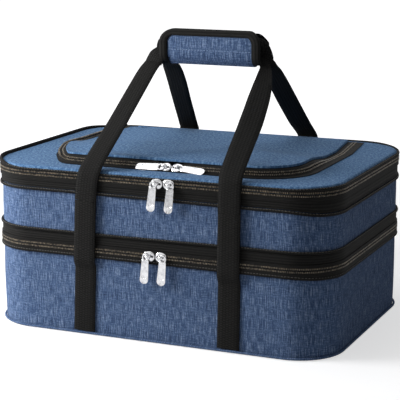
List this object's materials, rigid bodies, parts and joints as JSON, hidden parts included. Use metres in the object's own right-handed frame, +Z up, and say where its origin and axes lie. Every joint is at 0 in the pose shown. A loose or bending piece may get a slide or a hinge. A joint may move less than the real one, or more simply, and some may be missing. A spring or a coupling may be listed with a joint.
{
  "type": "casserole carrier",
  "caption": "Insulated two-deck casserole carrier with zip-round opening decks, a zipped flap in the lid, webbing handles and a padded grip wrap.",
  "frame": {"origin": "on the ground under the middle of the carrier's body", "axes": "+Z up, +X to the right of someone who faces the front, and the front looks along -Y"},
  "size_m": [0.4136, 0.3048, 0.3265],
  "materials": {
    "cloth": "heathered blue woven cloth",
    "trim": "black woven tape",
    "web": "black ribbed webbing",
    "foam": "soft closed-cell foam",
    "foil": "satin silver foil film",
    "board": "plain board",
    "metal": "polished nickel"
  },
  "bodies": {
    "lower_case": {"base_panel": "cloth", "base_piping": "cloth", "lower_shell": "cloth", "base_stiffener": "board", "lower_insulation": "foam", "lower_lining": "foil", "lower_band_piping": "trim", "mid_zipper_lower_half": "trim", "mid_hinge_strip": "trim", "front_web_sewn_left": "web", "front_web_sewn_right": "web", "back_web_sewn_left": "web", "back_web_sewn_right": "web"},
    "upper_case": {"upper_shell": "cloth", "divider_board": "board", "upper_insulation": "foam", "upper_lining": "foil", "mid_zipper_upper_half": "trim", "mid_band_strip": "trim", "mid_band_piping": "trim", "upper_band_piping": "trim", "upper_band_strip": "trim", "lid_zipper_lower_half": "trim", "lid_hinge_strip": "trim", "back_web_riser_left": "web", "back_web_riser_right": "web"},
    "lid": {"lid_panel": "cloth", "lid_insulation": "foam", "lid_lining": "foil", "lid_piping": "trim", "lid_zipper_upper_half": "trim", "flap_zipper_outer_half": "trim", "flap_hinge_fold": "cloth"},
    "flap": {"flap_zipper_inner_half": "trim", "flap_panel": "cloth", "flap_insulation": "foam", "flap_lining": "foil"},
    "front_web_low": {"front_web_low_left": "web", "front_web_low_right": "web"},
    "front_web_high": {"front_web_high_left": "web", "front_web_high_right": "web"},
    "front_handle": {"front_handle_loop": "web"},
    "back_handle": {"back_handle_loop": "web", "grip_pad": "cloth"},
    "grip_front": {"grip_cover": "cloth", "grip_binding": "trim"},
    "mid_slider_left": {"mid_slider_left": "metal"},
    "mid_slider_right": {"mid_slider_right": "metal"},
    "mid_pull_left": {"mid_pull_left": "metal"},
    "mid_pull_right": {"mid_pull_right": "metal"},
    "lid_slider_left": {"lid_slider_left": "metal"},
    "lid_slider_right": {"lid_slider_right": "metal"},
    "lid_pull_left": {"lid_pull_left": "metal"},
    "lid_pull_right": {"lid_pull_right": "metal"},
    "flap_slider_left": {"flap_slider_left": "metal"},
    "flap_slider_right": {"flap_slider_right": "metal"},
    "flap_pull_left": {"flap_pull_left": "metal"},
    "flap_pull_right": {"flap_pull_right": "metal"}
  },
  "joints": [
    {"name": "mid_hinge", "type": "hinge", "parent": "lower_case", "child": "upper_case", "pos_m": [0, 0.15125, 0.0965], "axis": [-1, 0, 0], "range_deg": [0, 100], "deforming": ["mid_hinge_strip"]},
    {"name": "lid_hinge", "type": "hinge", "parent": "upper_case", "child": "lid", "pos_m": [0, 0.15125, 0.1765], "axis": [1, 0, 0], "range_deg": [-95, 0], "deforming": ["lid_hinge_strip"]},
    {"name": "flap_hinge", "type": "hinge", "parent": "lid", "child": "flap", "pos_m": [0, 0.137, 0.1873], "axis": [1, 0, 0], "range_deg": [-90, 0], "deforming": ["flap_hinge_fold"]},
    {"name": "back_handle_fold", "type": "hinge", "parent": "lid", "child": "back_handle", "pos_m": [0, 0.1501, 0.1862], "axis": [1, 0, 0], "range_deg": [-90, 0], "deforming": ["back_handle_loop"]},
    {"name": "front_web_fold", "type": "hinge", "parent": "lower_case", "child": "front_web_low", "pos_m": [0, -0.1463, 0.0722], "axis": [1, 0, 0], "range_deg": [0, 100], "deforming": ["front_web_low_left", "front_web_low_right"]},
    {"name": "front_web_bend", "type": "hinge", "parent": "front_web_low", "child": "front_web_high", "pos_m": [0, -0.1501, 0.12515], "axis": [1, 0, 0], "range_deg": [0, 60], "deforming": ["front_web_high_left", "front_web_high_right"]},
    {"name": "front_handle_fold", "type": "hinge", "parent": "front_web_high", "child": "front_handle", "pos_m": [0, -0.1501, 0.1862], "axis": [1, 0, 0], "range_deg": [0, 105], "deforming": ["front_handle_loop"]},
    {"name": "grip_front_hinge", "type": "hinge", "parent": "back_handle", "child": "grip_front", "pos_m": [0, -0.0002, 0.28655], "axis": [-1, 0, 0], "range_deg": [-95, 0]},
    {"name": "mid_slider_left_travel", "type": "slide", "parent": "lower_case", "child": "mid_slider_left", "axis": [1, 0, 0], "range_m": [-0.14, 0]},
    {"name": "mid_slider_right_travel", "type": "slide", "parent": "lower_case", "child": "mid_slider_right", "axis": [-1, 0, 0], "range_m": [-0.122, 0]},
    {"name": "lid_slider_left_travel", "type": "slide", "parent": "upper_case", "child": "lid_slider_left", "axis": [-1, 0, 0], "range_m": [0, 0.148]},
    {"name": "lid_slider_right_travel", "type": "slide", "parent": "upper_case", "child": "lid_slider_right", "axis": [1, 0, 0], "range_m": [0, 0.112]},
    {"name": "flap_slider_left_travel", "type": "slide", "parent": "lid", "child": "flap_slider_left", "axis": [-1, 0, 0], "range_m": [0, 0.085]},
    {"name": "flap_slider_right_travel", "type": "slide", "parent": "lid", "child": "flap_slider_right", "axis": [1, 0, 0], "range_m": [0, 0.066]},
    {"name": "mid_pull_left_swing", "type": "hinge", "parent": "mid_slider_left", "child": "mid_pull_left", "pos_m": [-0.0014, -0.151, 0.0965], "axis": [0, -1, 0], "range_deg": [-90, 0]},
    {"name": "mid_pull_right_swing", "type": "hinge", "parent": "mid_slider_right", "child": "mid_pull_right", "pos_m": [0.019, -0.151, 0.0965], "axis": [0, 1, 0], "range_deg": [-90, 0]},
    {"name": "lid_pull_left_swing", "type": "hinge", "parent": "lid_slider_left", "child": "lid_pull_left", "pos_m": [0.0081, -0.151, 0.1765], "axis": [0, 1, 0], "range_deg": [0, 90]},
    {"name": "lid_pull_right_swing", "type": "hinge", "parent": "lid_slider_right", "child": "lid_pull_right", "pos_m": [0.0285, -0.151, 0.1765], "axis": [0, -1, 0], "range_deg": [0, 90]},
    {"name": "flap_pull_left_swing", "type": "hinge", "parent": "flap_slider_left", "child": "flap_pull_left", "pos_m": [-0.0004, -0.11185, 0.19111], "axis": [0, 0.7067, -0.7075], "range_deg": [0, 90]},
    {"name": "flap_pull_right_swing", "type": "hinge", "parent": "flap_slider_right", "child": "flap_pull_right", "pos_m": [0.02, -0.11185, 0.19111], "axis": [0, -0.7067, 0.7075], "range_deg": [0, 90]}
  ],
  "couplings": [
    {"joint": "front_web_fold", "follows": "mid_hinge", "ratio": 1},
    {"joint": "front_web_bend", "follows": "lid_hinge", "ratio": -0.6315},
    {"joint": "front_handle_fold", "follows": "flap_hinge", "ratio": -1.1666},
    {"joint": "back_handle_fold", "follows": "flap_hinge", "ratio": 1}
  ]
}
